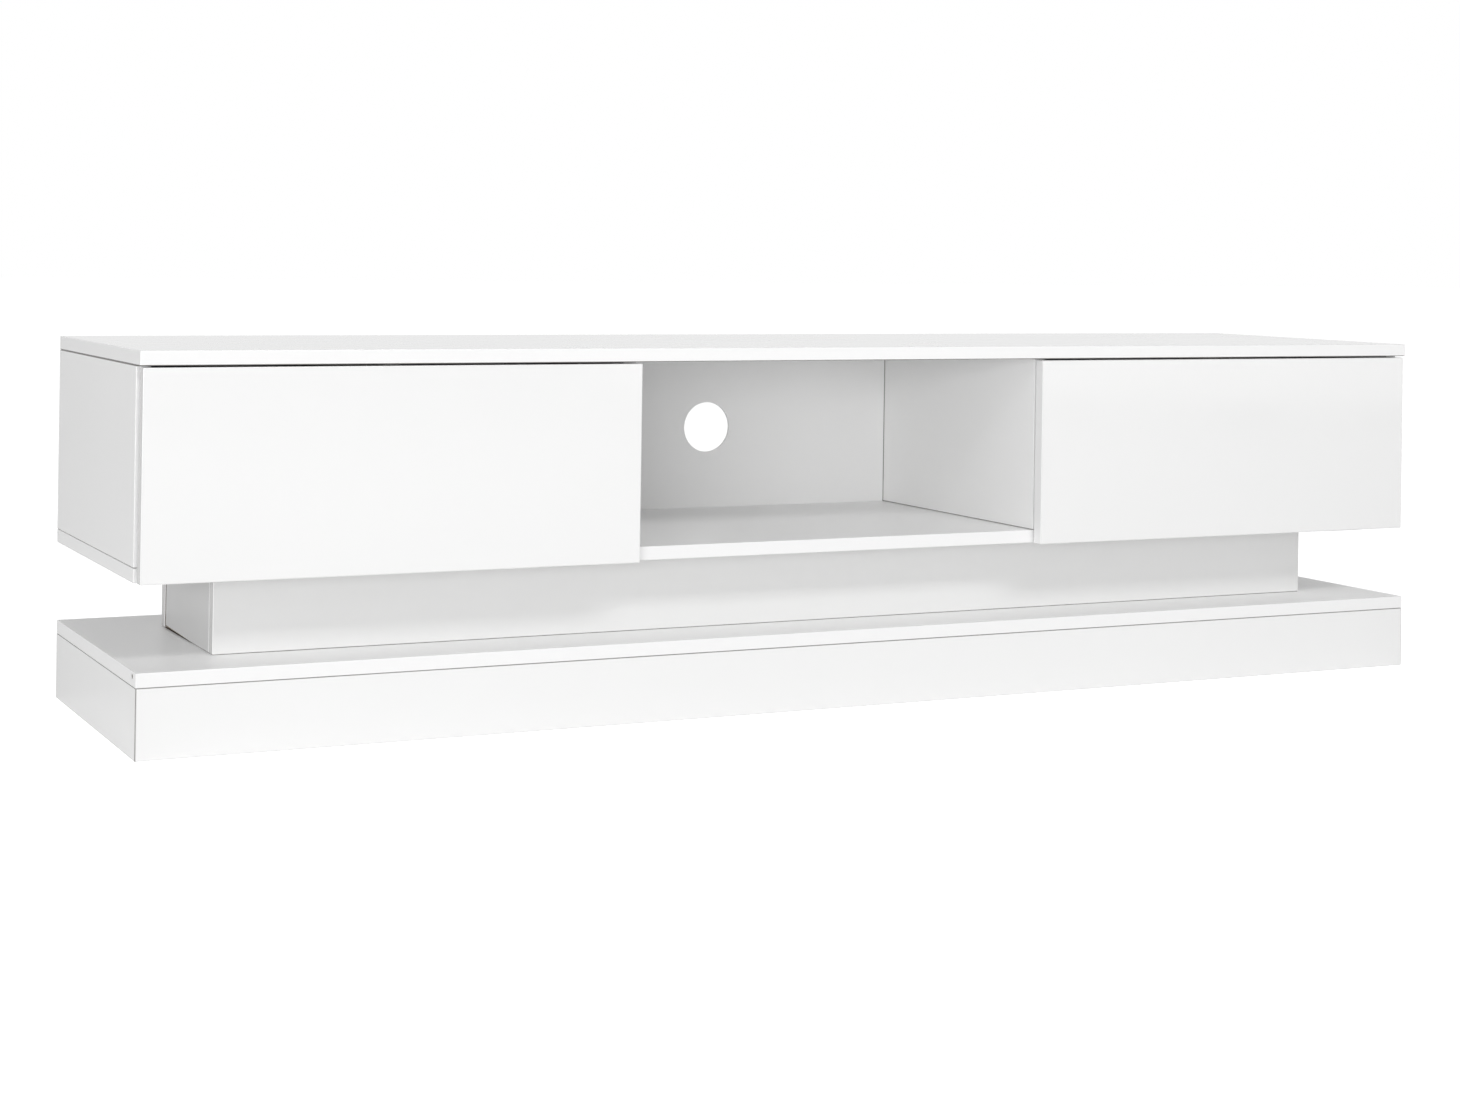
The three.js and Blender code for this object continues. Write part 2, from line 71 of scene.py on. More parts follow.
def put(tree, kind, given=None, **settings):
    """Puts a node in a tree. given holds values, or other nodes' outputs, by the input's name or number."""
    node = tree.nodes.new(kind)
    for name, value in settings.items():
        setattr(node, name, value)
    for socket, value in (given or {}).items():
        if isinstance(value, bpy.types.NodeSocket):
            tree.links.new(value, node.inputs[socket])
        else:
            node.inputs[socket].default_value = value
    return node


def cleared_tree(owner):
    """A material's or world's node tree with nothing in it."""
    owner.use_nodes = True
    owner.node_tree.nodes.clear()
    return owner.node_tree


def seen(tree, path):
    """1 for what the camera sees, straight or through something clear."""
    return put(tree, "ShaderNodeMath", {
        0: path["Is Camera Ray"], 1: path["Is Transmission Ray"]}, operation="MAXIMUM").outputs[0]


floor_reach = 30
floor_mesh = bpy.data.meshes.new("studio_floor")
floor_build = bmesh.new()
bmesh.ops.create_grid(floor_build, x_segments=1, y_segments=1, size=floor_reach)
floor_build.to_mesh(floor_mesh)
floor_build.free()
floor = bpy.data.objects.new("studio_floor", floor_mesh)
bpy.context.scene.collection.objects.link(floor)

floor_paper = bpy.data.materials.new("floor_paper")
paper = cleared_tree(floor_paper)
paper_path = put(paper, "ShaderNodeLightPath").outputs
paper_diffuse = put(paper, "ShaderNodeBsdfDiffuse", {"Color": (0.9, 0.9, 0.9, 1)})
paper_mirrored = put(paper, "ShaderNodeEmission", {"Strength": 0.3})
paper_white = put(paper, "ShaderNodeEmission", {"Strength": 0.75})
paper_shiny = put(paper, "ShaderNodeMixShader", {
    0: paper_path["Is Glossy Ray"], 2: paper_mirrored.outputs[0]})
paper_light = put(paper, "ShaderNodeMixShader", {
    0: seen(paper, paper_path), 1: paper_shiny.outputs[0], 2: paper_white.outputs[0]})
paper_sum = put(paper, "ShaderNodeAddShader", {0: paper_diffuse.outputs[0], 1: paper_light.outputs[0]})
put(paper, "ShaderNodeOutputMaterial", {"Surface": paper_sum.outputs[0]})
floor_mesh.materials.append(floor_paper)

room = bpy.data.worlds.new("white_room")
bpy.context.scene.world = room
room_tree = cleared_tree(room)
room_path = put(room_tree, "ShaderNodeLightPath").outputs
room_fill = put(room_tree, "ShaderNodeBackground", {"Color": (1, 1, 1, 1), "Strength": 0.35})
room_gloss = put(room_tree, "ShaderNodeBackground", {"Color": (1, 1, 1, 1), "Strength": 0.9})
room_white = put(room_tree, "ShaderNodeBackground", {"Color": (1, 1, 1, 1), "Strength": 1.0})
room_shiny = put(room_tree, "ShaderNodeMixShader", {
    0: room_path["Is Glossy Ray"], 1: room_fill.outputs[0], 2: room_gloss.outputs[0]})
room_mix = put(room_tree, "ShaderNodeMixShader", {
    0: seen(room_tree, room_path), 1: room_shiny.outputs[0], 2: room_white.outputs[0]})
put(room_tree, "ShaderNodeOutputWorld", {"Surface": room_mix.outputs[0]})


cabinet_middle = Vector((0.0, 0.0, 0.3))


def soft_box(name, place, width, height, power):
    """A wide lamp that faces the middle of the cabinet."""
    lamp = bpy.data.lights.new(name, "AREA")
    lamp.shape = "RECTANGLE"
    lamp.size = width
    lamp.size_y = height
    lamp.energy = power
    stand = bpy.data.objects.new(name, lamp)
    stand.location = place
    stand.rotation_euler = (cabinet_middle - Vector(place)).to_track_quat("-Z", "Y").to_euler()
    bpy.context.scene.collection.objects.link(stand)


soft_box("front_left_box", (-4.0, -5.6, 0.8), 3.0, 1.4, 140)
soft_box("front_high_box", (0.0, -3.2, 2.8), 2.4, 0.6, 44)
soft_box("front_middle_box", (0.0, -4.0, 1.8), 3.6, 1.2, 8)
soft_box("front_right_box", (2.6, -3.8, 0.7), 2.4, 1.2, 8)
soft_box("left_box", (-4.2, -0.6, 0.9), 1.8, 1.4, 23)

bpy.context.scene.view_settings.view_transform = "Standard"

# ---- Plinth skirts and rib ----
# Fibreboard cut square and mitred at the front corners, faced with white high-gloss lacquer. Every cut edge
# wears a strip of white edging 0.8 mm thick, glued on and trimmed, so its joint shows as a hairline. The
# strip's white is a shade lighter than the face's, a painted highlight along the eased edges.


def named_group(name, inputs, outputs):
    """A shader group with its sockets made, its inputs' values to read and its outputs to link to."""
    group = bpy.data.node_groups.new(name, "ShaderNodeTree")
    for label, kind, value in inputs:
        socket = group.interface.new_socket(label, in_out="INPUT", socket_type="NodeSocket" + kind)
        socket.default_value = value
    for label, kind in outputs:
        group.interface.new_socket(label, in_out="OUTPUT", socket_type="NodeSocket" + kind)
    return group, put(group, "NodeGroupInput").outputs, put(group, "NodeGroupOutput").inputs


def white_face_group():
    """A coated board's face: its white, how evenly it shines, its long waves and its fine skin."""
    group, given, result = named_group("white_face", (
        ("White", "Color", (0.9, 0.9, 0.9, 1)),
        ("Gloss Low", "Float", 0.06),
        ("Gloss High", "Float", 0.1),
        ("Wave Height", "Float", 0.00003),
        ("Skin Height", "Float", 0.0000008),
        ("Skin Scale", "Float", 450.0),
        ("Seed", "Float", 0.0),
    ), (("Color", "Color"), ("Roughness", "Float"), ("Normal", "Vector")))
    link = group.links.new
    place = put(group, "ShaderNodeTexCoord").outputs["Object"]
    shifted = put(group, "ShaderNodeVectorMath", {0: place, 1: given["Seed"]}, operation="ADD").outputs[0]
    haze = put(group, "ShaderNodeTexNoise", {
        "Vector": shifted, "Scale": 7.0, "Detail": 4.0, "Distortion": 0.6}).outputs["Fac"]
    wave = put(group, "ShaderNodeTexNoise", {"Vector": shifted, "Scale": 14.0, "Detail": 1.0}).outputs["Fac"]
    skin = put(group, "ShaderNodeTexNoise", {
        "Vector": shifted, "Scale": given["Skin Scale"], "Detail": 2.0}).outputs["Fac"]

    gloss = put(group, "ShaderNodeMapRange", {
        "Value": haze, "From Min": 0.3, "From Max": 0.7,
        "To Min": given["Gloss Low"], "To Max": given["Gloss High"]})
    link(gloss.outputs["Result"], result["Roughness"])
    shade = put(group, "ShaderNodeMapRange", {
        "Value": haze, "To Min": 0.985, "To Max": 1.0}).outputs["Result"]
    tint = put(group, "ShaderNodeMix", data_type="RGBA", blend_type="MULTIPLY")
    tint.inputs["Factor"].default_value = 1.0
    link(given["White"], tint.inputs["A"])
    link(shade, tint.inputs["B"])
    link(tint.outputs["Result"], result["Color"])
    waves = put(group, "ShaderNodeBump", {"Distance": given["Wave Height"], "Height": wave})
    skinned = put(group, "ShaderNodeBump", {
        "Distance": given["Skin Height"], "Height": skin, "Normal": waves.outputs["Normal"]})
    link(skinned.outputs["Normal"], result["Normal"])
    return group


free = -1
no_joint = (free, free, free)
joint_shade = (0.12, 0.11, 0.1, 1)


def edging_group():
    """Edging on a board that fills the box from Low to High, and the shade in its joints with other boards.

    Thin is 1 on the axis of the board's thickness. Low Joint and High Joint say how far up from each side of
    the box a joint is in shade, on each axis. A side where the board meets no other is free.
    """
    group, given, result = named_group("edging_strip", (
        ("Face Color", "Color", (0.9, 0.9, 0.9, 1)),
        ("Face Roughness", "Float", 0.1),
        # The strip's lighter white is a painted highlight along the eased edges.
        ("Lit Strip Color", "Color", (0.92, 0.92, 0.92, 1)),
        ("Strip Roughness", "Float", 0.22),
        ("Low", "Vector", (0, 0, 0)),
        ("High", "Vector", (1, 1, 1)),
        ("Thin", "Vector", (1, 0, 0)),
        ("Strip Width", "Float", 0.0008),
        ("Hairline Width", "Float", 0.00007),
        ("Hairline Darkness", "Float", 0.35),
        ("Low Joint", "Vector", no_joint),
        ("High Joint", "Vector", no_joint),
        ("Joint Darkness", "Float", 0.7),
    ), (("Color", "Color"), ("Roughness", "Float")))
    link = group.links.new
    place = put(group, "ShaderNodeTexCoord").outputs["Object"]
    low = put(group, "ShaderNodeVectorMath", {0: place, 1: given["Low"]}, operation="SUBTRACT")
    high = put(group, "ShaderNodeVectorMath", {0: given["High"], 1: place}, operation="SUBTRACT")
    near = put(group, "ShaderNodeVectorMath", {0: low.outputs[0], 1: high.outputs[0]}, operation="MINIMUM")
    apart = put(group, "ShaderNodeVectorMath", {0: near.outputs[0], 1: given["Thin"]}, operation="ADD")
    parts = put(group, "ShaderNodeSeparateXYZ", {0: apart.outputs[0]}).outputs
    first = put(group, "ShaderNodeMath", {0: parts["X"], 1: parts["Y"]}, operation="MINIMUM").outputs[0]
    to_edge = put(group, "ShaderNodeMath", {0: first, 1: parts["Z"]}, operation="MINIMUM").outputs[0]
    strip = put(group, "ShaderNodeMath", {
        0: to_edge, 1: given["Strip Width"]}, operation="LESS_THAN").outputs[0]
    hairline = put(group, "ShaderNodeMath", {
        0: to_edge, 1: given["Strip Width"], 2: given["Hairline Width"]}, operation="COMPARE").outputs[0]
    thin_dark = put(group, "ShaderNodeMath", {
        0: hairline, 1: given["Hairline Darkness"]}, operation="MULTIPLY").outputs[0]
    on_side = 0.00003
    shades = []
    for distance, reach in ((low, given["Low Joint"]), (high, given["High Joint"])):
        offs = put(group, "ShaderNodeSeparateXYZ", {0: distance.outputs[0]}).outputs
        reaches = put(group, "ShaderNodeSeparateXYZ", {0: reach}).outputs
        for axis in "XYZ":
            inside = put(group, "ShaderNodeMath", {0: offs[axis], 1: reaches[axis]}, operation="LESS_THAN")
            past = put(group, "ShaderNodeMath", {0: offs[axis], 1: on_side}, operation="GREATER_THAN")
            shades.append(put(group, "ShaderNodeMath", {
                0: inside.outputs[0], 1: past.outputs[0]}, operation="MULTIPLY").outputs[0])
    shade = shades[0]
    for other in shades[1:]:
        shade = put(group, "ShaderNodeMath", {0: shade, 1: other}, operation="MAXIMUM").outputs[0]
    shade = put(group, "ShaderNodeMath", {
        0: shade, 1: given["Joint Darkness"]}, operation="MULTIPLY").outputs[0]
    dark = put(group, "ShaderNodeMath", {0: thin_dark, 1: shade}, operation="MAXIMUM").outputs[0]
    banded = put(group, "ShaderNodeMix", data_type="RGBA")
    link(strip, banded.inputs["Factor"])
    link(given["Face Color"], banded.inputs["A"])
    link(given["Lit Strip Color"], banded.inputs["B"])
    jointed = put(group, "ShaderNodeMix", data_type="RGBA")
    link(dark, jointed.inputs["Factor"])
    link(banded.outputs["Result"], jointed.inputs["A"])
    jointed.inputs["B"].default_value = joint_shade
    link(jointed.outputs["Result"], result["Color"])
    rough = put(group, "ShaderNodeMix", {
        "Factor": strip, "A": given["Face Roughness"], "B": given["Strip Roughness"]}, data_type="FLOAT")
    link(rough.outputs["Result"], result["Roughness"])
    return group


white_face = white_face_group()
edging_strip = edging_group()


def coated_board(name, finish, seed, low_joint=no_joint, high_joint=no_joint, joint_darkness=0.7):
    """Gives a board's node its own coat: the finish's face with edging round the board's own box.

    The seed shifts the face's pattern, so that no two boards are alike.
    """
    material = bpy.data.materials.new(name + "_coat")
    material.use_nodes = True
    tree = material.node_tree
    shader = tree.nodes["Principled BSDF"]
    low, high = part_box(name)
    sides = [high[axis] - low[axis] for axis in range(3)]
    face = put(tree, "ShaderNodeGroup", {**finish, "Seed": seed}, node_tree=white_face).outputs
    edging = put(tree, "ShaderNodeGroup", {
        "Face Color": face["Color"], "Face Roughness": face["Roughness"], "Low": low, "High": high,
        "Thin": [float(side == min(sides)) for side in sides],
        "Low Joint": low_joint, "High Joint": high_joint, "Joint Darkness": joint_darkness,
    }, node_tree=edging_strip).outputs
    tree.links.new(edging["Color"], shader.inputs["Base Color"])
    tree.links.new(edging["Roughness"], shader.inputs["Roughness"])
    tree.links.new(face["Normal"], shader.inputs["Normal"])
    nodes[name].material_slots[0].material = material
    return material


high_gloss = {"White": (0.9, 0.9, 0.898, 1), "Gloss Low": 0.06, "Gloss High": 0.1}
pattern_step = 1.7
butt = 0.0004
mitre = 0.00065
skirts = {
    "plinth_front_skirt": ((mitre, free, free), (mitre, free, butt)),
    "plinth_rear_skirt": (no_joint, (free, free, butt)),
    "plinth_left_skirt": ((free, mitre, free), (free, free, butt)),
    "plinth_right_skirt": ((free, mitre, free), (free, free, butt)),
    "plinth_middle_rib": (no_joint, (free, free, butt)),
}
for seed, (name, (low_joint, high_joint)) in enumerate(skirts.items()):
    coated_board(name, high_gloss, pattern_step * seed, low_joint, high_joint)

# ---- Plinth top board ----
# The plinth's lid, laid on the skirts. It is the same lacquered board, given a whiter white as painted light
# and rubbed to a soft sheen that barely mirrors the riser. Raw fibreboard shows in the bore at each end,
# darkened as painted shade, and where the riser covers the board it is painted dark as shade.
rubbed_gloss = {"White": (0.96, 0.96, 0.958, 1), "Gloss Low": 0.34, "Gloss High": 0.4}
plinth_lid = coated_board("plinth_top_board", rubbed_gloss, 11.3, low_joint=(free, free, butt)).node_tree
end_bore = {
    "radius": 0.0033, "from_front": 0.015, "below_top": 0.005, "past_edging": 0.0008, "depth": 0.0125}
# How far in from the riser's outline the lid's painted shade under the riser starts.
shade_inset_under_riser = 0.0005
face_reach = 0.00005


def bare_and_shade_group():
    """Where its mask is 1, fibreboard takes the coat's place, darkened as painted shade: its fibres lie
    between a dark and a light tone, and lighter tones make greyer, shaded ends.
    """
    group, given, result = named_group("bare_board_and_shade", (
        ("Coat", "Color", (0.9, 0.9, 0.9, 1)), ("Darkened", "Float", 0.0),
        ("Dark Tone", "Color", (0.09, 0.06, 0.04, 1)), ("Light Tone", "Color", (0.16, 0.11, 0.075, 1)),
    ), (("Color", "Color"),))
    place = put(group, "ShaderNodeTexCoord").outputs["Object"]
    fibre = put(group, "ShaderNodeTexNoise", {
        "Vector": place, "Scale": 3500.0, "Detail": 3.0}).outputs["Fac"]
    tone = put(group, "ShaderNodeMix", data_type="RGBA")
    group.links.new(fibre, tone.inputs["Factor"])
    group.links.new(given["Dark Tone"], tone.inputs["A"])
    group.links.new(given["Light Tone"], tone.inputs["B"])
    shown = put(group, "ShaderNodeMix", data_type="RGBA")
    group.links.new(given["Darkened"], shown.inputs["Factor"])
    group.links.new(given["Coat"], shown.inputs["A"])
    group.links.new(tone.outputs["Result"], shown.inputs["B"])
    group.links.new(shown.outputs["Result"], result["Color"])
    return group


bare_board_and_shade = bare_and_shade_group()


def lay_bare_and_shade(tree, dark_mask, tones=None):
    """Shows the fibreboard, darkened as painted shade, in place of a board's coat where the mask is 1."""
    base = tree.nodes["Principled BSDF"].inputs["Base Color"]
    board = put(tree, "ShaderNodeGroup", {
        "Coat": base.links[0].from_socket, "Darkened": dark_mask, **(tones or {})}, node_tree=bare_board_and_shade)
    tree.links.new(board.outputs["Color"], base)


def between_group():
    """1 where a surface lies between two corners, with X taken from the cabinet's middle to either end."""
    group, given, result = named_group("between_corners", (
        ("Low", "Vector", (0, 0, 0)), ("High", "Vector", (1, 1, 1))), (("Mask", "Float"),))
    place = put(group, "ShaderNodeTexCoord").outputs["Object"]
    parts = put(group, "ShaderNodeSeparateXYZ", {0: place}).outputs
    along = put(group, "ShaderNodeMath", {0: parts["X"]}, operation="ABSOLUTE").outputs[0]
    spot = put(group, "ShaderNodeCombineXYZ", {
        "X": along, "Y": parts["Y"], "Z": parts["Z"]}).outputs[0]
    over = put(group, "ShaderNodeVectorMath", {0: spot, 1: given["Low"]}, operation="SUBTRACT")
    under = put(group, "ShaderNodeVectorMath", {0: given["High"], 1: spot}, operation="SUBTRACT")
    near = put(group, "ShaderNodeVectorMath", {0: over.outputs[0], 1: under.outputs[0]}, operation="MINIMUM")
    gaps = put(group, "ShaderNodeSeparateXYZ", {0: near.outputs[0]}).outputs
    first = put(group, "ShaderNodeMath", {0: gaps["X"], 1: gaps["Y"]}, operation="MINIMUM").outputs[0]
    least = put(group, "ShaderNodeMath", {0: first, 1: gaps["Z"]}, operation="MINIMUM").outputs[0]
    inside = put(group, "ShaderNodeMath", {0: least, 1: 0.0}, operation="GREATER_THAN").outputs[0]
    group.links.new(inside, result["Mask"])
    return group


between_corners = between_group()


def between(tree, low, high):
    """The mask of what lies between two corners, in one board's material."""
    return put(tree, "ShaderNodeGroup", {"Low": low, "High": high}, node_tree=between_corners).outputs["Mask"]


low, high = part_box("plinth_top_board")
bore_y, bore_z = low[1] + end_bore["from_front"], high[2] - end_bore["below_top"]
lid_place = put(plinth_lid, "ShaderNodeTexCoord").outputs["Object"]
lid_parts = put(plinth_lid, "ShaderNodeSeparateXYZ", {0: lid_place}).outputs
off_y = put(plinth_lid, "ShaderNodeMath", {0: lid_parts["Y"], 1: bore_y}, operation="SUBTRACT").outputs[0]
off_z = put(plinth_lid, "ShaderNodeMath", {0: lid_parts["Z"], 1: bore_z}, operation="SUBTRACT").outputs[0]
across = put(plinth_lid, "ShaderNodeCombineXYZ", {"Y": off_y, "Z": off_z}).outputs[0]
off_axis = put(plinth_lid, "ShaderNodeVectorMath", {0: across}, operation="LENGTH").outputs["Value"]
in_bore = put(plinth_lid, "ShaderNodeMath", {
    0: off_axis, 1: end_bore["radius"]}, operation="LESS_THAN").outputs[0]
deep = between(
    plinth_lid, (high[0] - end_bore["depth"], low[1], low[2]),
    (high[0] - end_bore["past_edging"], high[1], high[2]))
bored = put(plinth_lid, "ShaderNodeMath", {0: in_bore, 1: deep}, operation="MULTIPLY").outputs[0]
riser_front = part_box("riser_front_rail")[0]
riser_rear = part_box("riser_rear_rail")[1]
under_riser = between(
    plinth_lid,
    (low[0], riser_front[1] + shade_inset_under_riser, high[2] - face_reach),
    (riser_rear[0] - shade_inset_under_riser, riser_rear[1] - shade_inset_under_riser, high[2] + face_reach))
lid_darkened = put(plinth_lid, "ShaderNodeMath", {0: bored, 1: under_riser}, operation="MAXIMUM").outputs[0]
lay_bare_and_shade(plinth_lid, lid_darkened)

# ---- Riser ----
# Two long rails with two ends and a middle rib between them, which lift the case off the plinth. Their satin
# foil is greyer than the case's, as painted shade under the case. The end boards and the rails' own ends are
# painted greyer still, as shade, and the rear rail's inner face and the end boards' askew lower edges are
# painted dark as shade.
# The riser's white of 0.8, greyer than the case's, is painted shade under the case; the uprights set their
# own.
satin_foil = {
    "White": (0.8, 0.8, 0.797, 1), "Gloss Low": 0.32, "Gloss High": 0.4,
    "Wave Height": 0.00003, "Skin Height": 0.000008, "Skin Scale": 1400.0}
# The end boards' greyer white and the rails' greyer end tones are painted shade.
end_shade_white = {"White": (0.6, 0.6, 0.598, 1)}
rail_end_shade = {"Dark Tone": (0.56, 0.56, 0.558, 1), "Light Tone": (0.62, 0.62, 0.618, 1)}
# A strip along each end board's askew lower edge is painted dark as shade in the gap beneath it.
shaded_lower_edge = {"from_front": 0.25, "rear_height": 0.0033}


def board_end(tree, name):
    """The mask of a board's outer end, or of both ends where the board lies across the cabinet's middle."""
    low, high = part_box(name)
    end = max(abs(low[0]), abs(high[0]))
    return between(tree, (end - face_reach, low[1], low[2]), (end + face_reach, high[1], high[2]))


def askew_group():
    """1 below a line that starts at a board's foot, a part of the way along it, and climbs to its rear."""
    group, given, result = named_group("below_askew_line", (
        ("Start", "Float", 0.0), ("Rear", "Float", 1.0),
        ("Foot", "Float", 0.0), ("Rear Height", "Float", 1.0),
    ), (("Mask", "Float"),))
    place = put(group, "ShaderNodeTexCoord").outputs["Object"]
    spot = put(group, "ShaderNodeSeparateXYZ", {0: place}).outputs
    line = put(group, "ShaderNodeMapRange", {
        "Value": spot["Y"], "From Min": given["Start"], "From Max": given["Rear"],
        "To Min": given["Foot"], "To Max": given["Rear Height"]}).outputs["Result"]
    below = put(group, "ShaderNodeMath", {0: spot["Z"], 1: line}, operation="LESS_THAN").outputs[0]
    group.links.new(below, result["Mask"])
    return group


below_askew_line = askew_group()
riser_boards = (
    "riser_front_rail", "riser_rear_rail", "riser_left_end", "riser_right_end", "riser_middle_rib")
for seed, name in enumerate(riser_boards):
    finish = {**satin_foil, **end_shade_white} if name.endswith("_end") else satin_foil
    coat = coated_board(name, finish, 20 + pattern_step * seed, low_joint=(free, free, butt)).node_tree
    low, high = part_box(name)
    # The rails' end faces are painted greyer, as shade.
    if name.endswith("_rail"):
        lay_bare_and_shade(coat, board_end(coat, name), rail_end_shade)
    # The rear rail's inner face is painted dark as shade.
    if name == "riser_rear_rail":
        lay_bare_and_shade(coat, between(
            coat, (low[0], low[1] - face_reach, low[2] - face_reach),
            (high[0] + face_reach, low[1] + face_reach, high[2] + face_reach)))
    if name.endswith("_end"):
        edge = put(coat, "ShaderNodeGroup", {
            "Start": low[1] + shaded_lower_edge["from_front"] * (high[1] - low[1]), "Rear": high[1],
            "Foot": low[2], "Rear Height": low[2] + shaded_lower_edge["rear_height"]}, node_tree=below_askew_line)
        lay_bare_and_shade(coat, edge.outputs["Mask"])

# ---- Case floor and top board ----
# The two long boards of the case, lacquered on every face. The top board covers the flaps as well and keeps
# its full shine, while the floor, which is a shelf in the open bay, is rubbed to a soft sheen and given a
# whiter white than the top board's, as painted light in the bay.
inner_gloss = {"White": (0.96, 0.96, 0.958, 1), "Gloss Low": 0.3, "Gloss High": 0.36}
under_top = (free, free, 0.0008)
case_darkness = 0.9
coated_board("case_floor", inner_gloss, 30)
coated_board("top_board", high_gloss, 31.7, low_joint=under_top, joint_darkness=case_darkness)

# ---- Gables and dividers ----
# The four uprights, faced with a whiter satin foil than the riser and joined to the long boards with cam
# fittings, which leave no trace outside. The dividers are given a whiter white than the gables, as painted
# light inside the bay.
white_satin = {**satin_foil, "White": (0.9, 0.9, 0.898, 1), "Gloss Low": 0.3, "Gloss High": 0.36}
lit_satin = {**white_satin, "White": (0.96, 0.96, 0.958, 1)}
joints = {
    "low_joint": (free, free, 0.0006), "high_joint": (free, free, 0.001), "joint_darkness": case_darkness}
for seed, side in enumerate(("left", "right")):
    coated_board(side + "_gable", white_satin, 40 + pattern_step * seed, **joints)
    coated_board(side + "_divider", lit_satin, 43.4 + pattern_step * seed, **joints)

# ---- Cam covers ----
# Each upright is pulled to the case's floor and to the top board by two cam bolts at each end. The cam sits
# in a bore on the compartment's side under a push-in cover of white plastic, slightly crowned.
cover = {"Radius": 0.0086, "Height": 0.0009, "Rim Height": 0.00018, "Crown": 0.93}
cover_seed = 3
cover_from_end = 0.034
cover_from_front = 0.05
cover_from_rear = 0.07


def geometry_tree(name, sizes):
    """A Geometry Nodes tree with its sockets made, its inputs' values to read and its outputs to link to."""
    tree = bpy.data.node_groups.new(name, "GeometryNodeTree")
    tree.interface.new_socket("Geometry", in_out="INPUT", socket_type="NodeSocketGeometry")
    for label, size in sizes.items():
        tree.interface.new_socket(label, in_out="INPUT", socket_type="NodeSocketFloat").default_value = size
    tree.interface.new_socket("Seed", in_out="INPUT", socket_type="NodeSocketInt")
    tree.interface.new_socket("Material", in_out="INPUT", socket_type="NodeSocketMaterial")
    tree.interface.new_socket("Geometry", in_out="OUTPUT", socket_type="NodeSocketGeometry")
    return tree, put(tree, "NodeGroupInput").outputs, put(tree, "NodeGroupOutput").inputs


def set_on_places(tree, given, result, shape):
    """Ends a tree: the shape on every point, turned from +Z to the point's facing and by a random turn."""
    facing = put(tree, "GeometryNodeInputNamedAttribute", {"Name": "facing"}, data_type="FLOAT_VECTOR")
    aimed = put(tree, "FunctionNodeAlignRotationToVector", {
        "Vector": facing.outputs["Attribute"]}, axis="Z").outputs["Rotation"]
    turn = put(tree, "FunctionNodeRandomValue", {
        "Min": Vector((0, 0, 0)), "Max": Vector((0, 0, math.tau)), "Seed": given["Seed"]},
        data_type="FLOAT_VECTOR").outputs["Value"]
    spun = put(tree, "FunctionNodeRotateRotation", {
        "Rotation": aimed, "Rotate By": turn}, rotation_space="LOCAL")
    copies = put(tree, "GeometryNodeInstanceOnPoints", {
        "Points": given["Geometry"], "Instance": shape, "Rotation": spun.outputs["Rotation"]})
    real = put(tree, "GeometryNodeRealizeInstances", {"Geometry": copies.outputs["Instances"]})
    coated = put(tree, "GeometryNodeSetMaterial", {
        "Geometry": real.outputs["Geometry"], "Material": given["Material"]})
    tree.links.new(coated.outputs["Geometry"], result["Geometry"])


def cover_tree():
    """A flat disc whose top face is raised a little and drawn in, so that the cover looks crowned."""
    tree, given, result = geometry_tree("cam_covers", cover)
    disc = put(tree, "GeometryNodeMeshCone", {
        "Vertices": 40, "Radius Top": given["Radius"], "Radius Bottom": given["Radius"],
        "Depth": given["Height"]})
    rim = put(tree, "GeometryNodeExtrudeMesh", {
        "Mesh": disc.outputs["Mesh"], "Selection": disc.outputs["Top"],
        "Offset Scale": given["Rim Height"]}, mode="FACES")
    crown = put(tree, "GeometryNodeScaleElements", {
        "Geometry": rim.outputs["Mesh"], "Selection": rim.outputs["Top"],
        "Scale": given["Crown"]}, domain="FACE")
    set_on_places(tree, given, result, crown.outputs["Geometry"])
    return tree


def placed(name, tree, places, body, values):
    """Runs a tree over a list of (point, facing) and leaves the result as one plain piece of a body."""
    mesh = bpy.data.meshes.new(name + "_places")
    mesh.from_pydata([point for point, _ in places], [], [])
    facing = mesh.attributes.new("facing", "FLOAT_VECTOR", "POINT")
    for number, (_, direction) in enumerate(places):
        facing.data[number].vector = direction
    seat = bpy.data.objects.new(name, mesh)
    bpy.context.scene.collection.objects.link(seat)
    modifier = seat.modifiers.new("set_out", "NODES")
    modifier.node_group = tree
    identifiers = {item.name: item.identifier for item in tree.interface.items_tree if item.in_out == "INPUT"}
    for label, value in values.items():
        modifier[identifiers[label]] = value
    finished = bpy.data.meshes.new_from_object(seat.evaluated_get(bpy.context.evaluated_depsgraph_get()))
    finished.name = name
    seat.modifiers.clear()
    seat.data = finished
    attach(seat, body)


